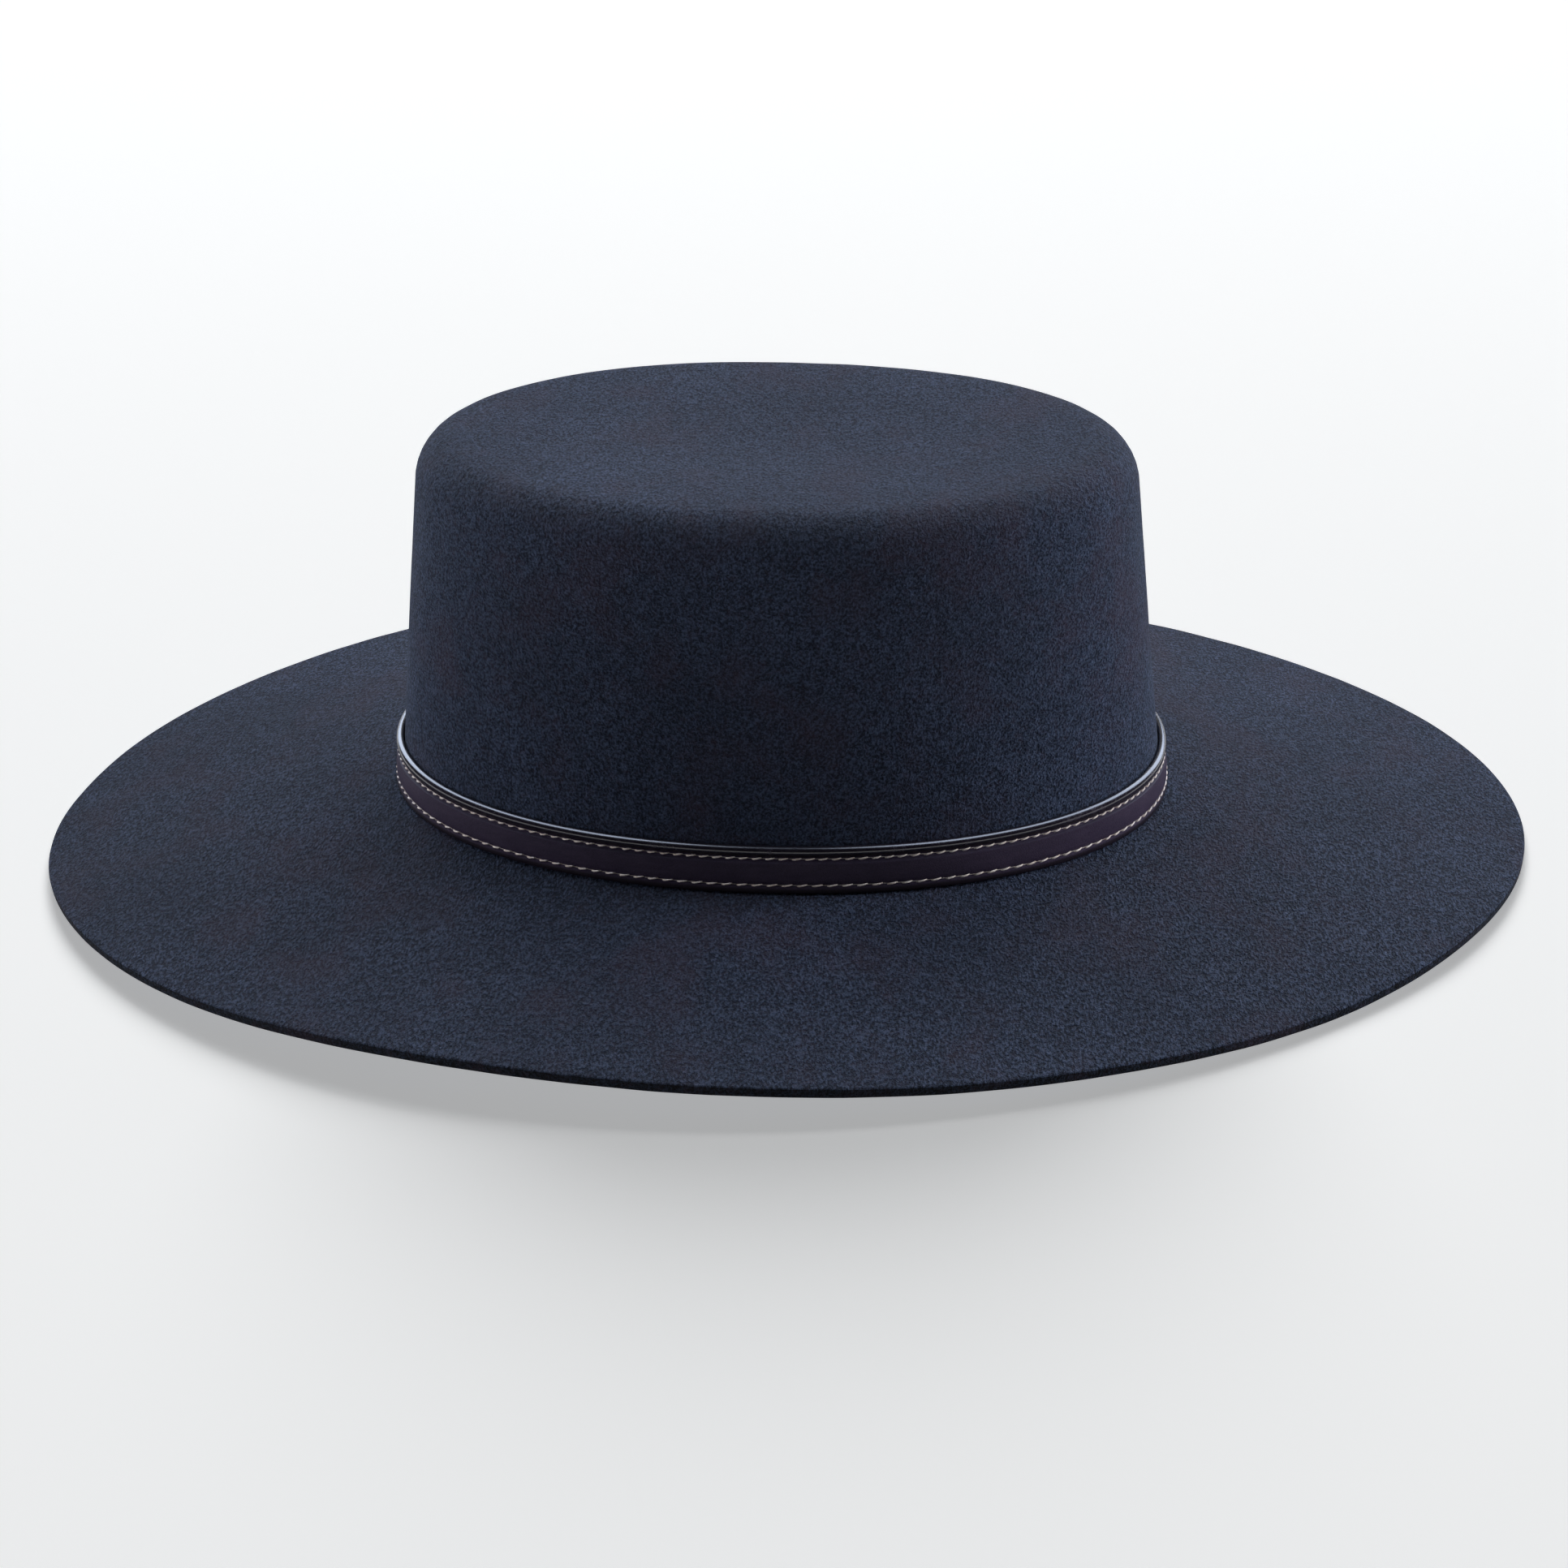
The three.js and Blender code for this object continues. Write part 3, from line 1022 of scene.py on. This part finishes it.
class HAT_OT_make_stage(bpy.types.Operator):
    """Make the pale floor, the soft lights and the camera"""

    bl_idname = "hat.make_stage"
    bl_label = "Make Stage"
    bl_options = {"REGISTER", "UNDO"}

    def execute(self, context):
        stage = context.scene.hat_stage
        hat = [piece for piece in context.scene.objects if piece.type == "MESH"]
        bpy.ops.object.select_all(action="DESELECT")
        bpy.ops.mesh.primitive_plane_add(size=stage.floor_size, location=(0, 0, -FLOOR_GAP))
        floor = context.object
        floor.name = "stage_floor"
        floor.data.materials.append(floor_finish(stage))

        for name, spot, size, power, along, kind in SOFTBOXES:
            self.add_softbox(name, Vector(spot), size, power, Vector(along), kind)
            if kind == "fill":
                self.light_only(context.object, hat)
        bpy.ops.object.light_add(type="SUN", rotation=(stage.sun_tilt, 0, stage.azimuth))
        sun = context.object
        sun.name = "floor_sun"
        sun.data.energy = stage.sun
        sun.data.angle = stage.sun_softness
        self.light_only(sun, [floor])
        self.set_air(context, stage)
        self.add_camera(context, stage)
        return {"FINISHED"}

    def add_softbox(self, name, place, size, power, along, kind):
        """A softbox that faces the hat, with its width along a direction as far as it can be."""
        bpy.ops.object.light_add(type="AREA", location=place)
        light = bpy.context.object
        light.name = name
        light.data.shape = "RECTANGLE"
        light.data.size, light.data.size_y = size
        light.data.energy = power
        light.data.color = SHINE_COLOUR if kind == "shine" else (1, 1, 1)
        light.visible_diffuse = kind != "shine"
        light.visible_glossy = kind != "fill"
        light.visible_camera = False
        back = (place - LIGHT_TARGET).normalized()
        side = (along - back * back.dot(along)).normalized()
        axes = Matrix((side, back.cross(side), back)).transposed()
        light.rotation_euler = axes.to_euler()

    def light_only(self, light, pieces):
        """Lets a light reach these pieces alone. The others still cast its shadow."""
        reach = bpy.data.collections.new(f"{light.name}_reach")
        for piece in pieces:
            reach.objects.link(piece)
        light.light_linking.receiver_collection = reach

    def set_air(self, context, stage):
        """The air behind the floor. It lights nothing but a little of the felt's sheen."""
        world = bpy.data.worlds.new("studio_air")
        world.use_nodes = True
        air = world.node_tree.nodes["Background"]
        air.inputs["Color"].default_value = solid(stage.floor_colour)
        air.inputs["Strength"].default_value = stage.air
        world.cycles_visibility.diffuse = False
        world.cycles_visibility.glossy = False
        context.scene.world = world
        context.scene.view_settings.view_transform = "Standard"

    def add_camera(self, context, stage):
        """The camera, which stands as the photo's did."""
        back = Vector((
            math.sin(stage.azimuth) * math.cos(stage.elevation),
            -math.cos(stage.azimuth) * math.cos(stage.elevation),
            math.sin(stage.elevation),
        ))
        place = CAMERA_CENTRE + back * stage.distance
        bpy.ops.object.camera_add(location=place)
        camera = context.object
        camera.name = "camera"
        camera.data.lens = stage.lens
        camera.data.sensor_width = SENSOR_WIDTH
        camera.data.clip_end = FARTHEST_SEEN
        level = (CAMERA_AIM - place).to_track_quat("-Z", "Y").to_matrix()
        rolled = level @ Matrix.Rotation(stage.roll, 3, "Z")
        camera.rotation_euler = rolled.to_euler()
        context.scene.camera = camera


class HAT_PT_panel(bpy.types.Panel):
    """The felt hat's pieces, in the 3D view's sidebar"""

    bl_idname = "HAT_PT_panel"
    bl_label = "Felt Hat"
    bl_space_type = "VIEW_3D"
    bl_region_type = "UI"
    bl_category = "Felt Hat"

    def draw(self, context):
        layout = self.layout
        for operator in OPERATORS:
            layout.operator(operator.bl_idname)
        for name, group in SETTINGS.items():
            box = layout.box()
            settings = getattr(context.scene, name)
            for key in group.__annotations__:
                box.prop(settings, key)


OPERATORS = (HAT_OT_make_felt, HAT_OT_make_band, HAT_OT_make_stitching, HAT_OT_make_stage)
SETTINGS = {
    "hat_felt": HatFeltSizes,
    "hat_felt_look": HatFeltLook,
    "hat_band": HatBandSizes,
    "hat_band_look": HatBandLook,
    "hat_stitches": HatStitchSizes,
    "hat_stage": HatStageSettings,
}


def register():
    """Adds the hat's settings, operators and panel to Blender."""
    for group in SETTINGS.values():
        bpy.utils.register_class(group)
    for name, group in SETTINGS.items():
        setattr(bpy.types.Scene, name, bpy.props.PointerProperty(type=group))
    for operator in OPERATORS:
        bpy.utils.register_class(operator)
    bpy.utils.register_class(HAT_PT_panel)


def unregister():
    """Takes them out again."""
    bpy.utils.unregister_class(HAT_PT_panel)
    for operator in reversed(OPERATORS):
        bpy.utils.unregister_class(operator)
    for name, group in SETTINGS.items():
        delattr(bpy.types.Scene, name)
        bpy.utils.unregister_class(group)


def main():
    """Makes the hat piece by piece, then the stage."""
    register()
    bpy.ops.hat.make_felt()
    bpy.ops.hat.make_band()
    bpy.ops.hat.make_stitching()
    bpy.ops.hat.make_stage()


if __name__ == "__main__":
    main()
